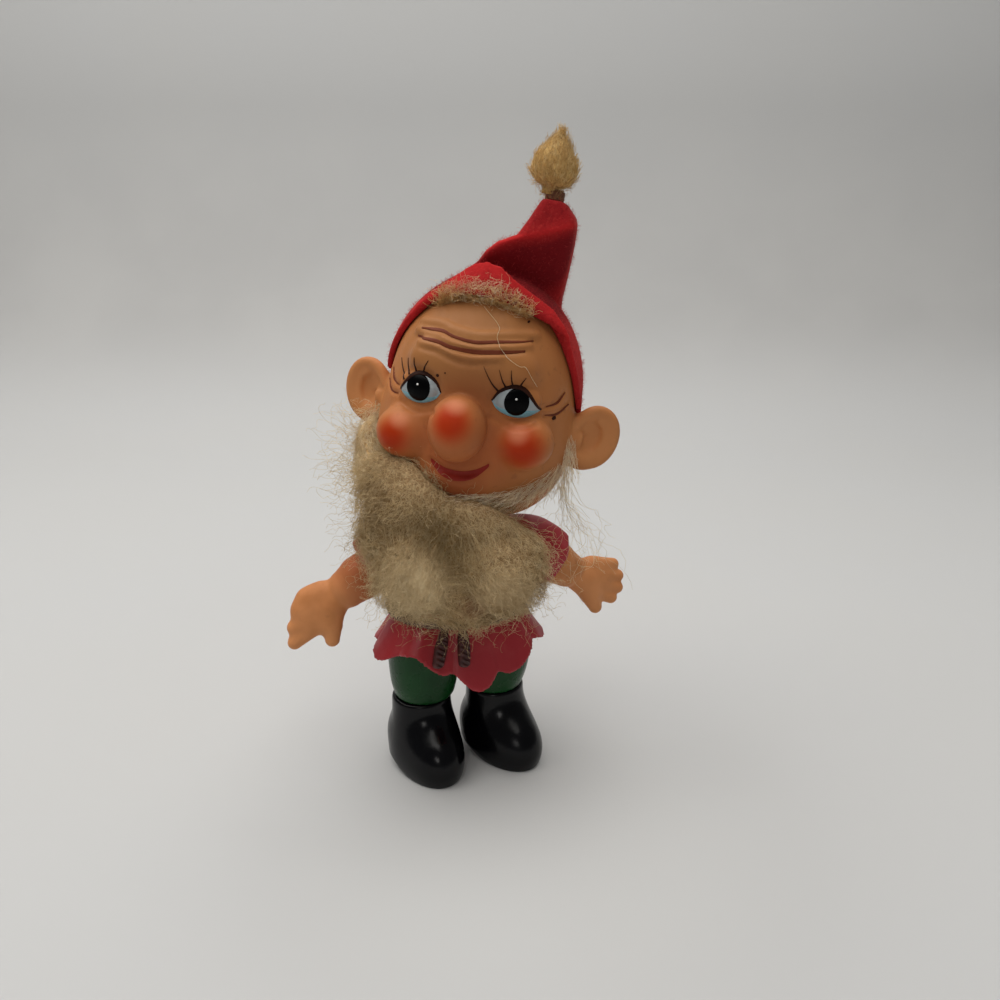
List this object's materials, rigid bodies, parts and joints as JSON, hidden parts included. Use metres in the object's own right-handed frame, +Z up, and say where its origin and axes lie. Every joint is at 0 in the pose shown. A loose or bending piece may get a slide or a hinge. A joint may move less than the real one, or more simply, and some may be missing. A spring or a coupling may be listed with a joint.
{
  "type": "christmas gnome ornament",
  "caption": "Standing vinyl gnome with a red felt cap, wool beard, short coat and black boots, whose head nods on a coil spring neck.",
  "frame": {"origin": "middle of the outline, on the floor under the boot soles", "axes": "+Z up to the pompon, the body faces -Y, +X is the viewer's right"},
  "size_m": [0.0996, 0.0612, 0.1691],
  "materials": {
    "skin": "satin",
    "felt": "matte",
    "wool": "matte",
    "coat": "satin",
    "trousers": "satin",
    "boots": "gloss",
    "cord": "matte",
    "thread": "matte",
    "seat": "satin",
    "steel": "satin"
  },
  "bodies": {
    "body": {"boot_left": "boots", "boot_right": "boots", "ballast_left": "steel", "ballast_right": "steel", "trousers": "trousers", "tunic": "coat", "arm_left": "skin", "arm_right": "skin", "belt_cord": "cord", "belt_tassel_left": "cord", "belt_tassel_right": "cord"},
    "neck": {"neck_plug": "seat"},
    "spring": {"neck_spring": "steel"},
    "head": {"head_disc": "seat", "head_shell": "skin", "felt_hat": "felt", "pompon_tie": "thread", "pompon": "wool", "forehead_hair": "wool", "beard": "wool", "sideburn_left": "wool", "sideburn_right": "wool"}
  },
  "joints": [
    {"name": "neck_turn", "type": "hinge", "parent": "body", "child": "neck", "pos_m": [-0.00051, 0.00618, 0.0775], "axis": [0, 0, 1], "range_deg": [-4, 40]},
    {"name": "neck_nod", "type": "hinge", "parent": "neck", "child": "spring", "pos_m": [-0.00051, 0.00618, 0.0843], "axis": [0.8988, -0.4384, 0], "range_deg": [-7, 4], "stiffness_Nm_per_rad": 0.06, "springref_deg": -1.49, "deforming": ["neck_spring"]},
    {"name": "neck_tilt", "type": "hinge", "parent": "spring", "child": "head", "pos_m": [-0.00051, 0.00618, 0.0843], "axis": [0.4384, 0.8988, 0], "range_deg": [-9, 4], "stiffness_Nm_per_rad": 0.06, "springref_deg": -2.06, "deforming": ["neck_spring"]}
  ]
}
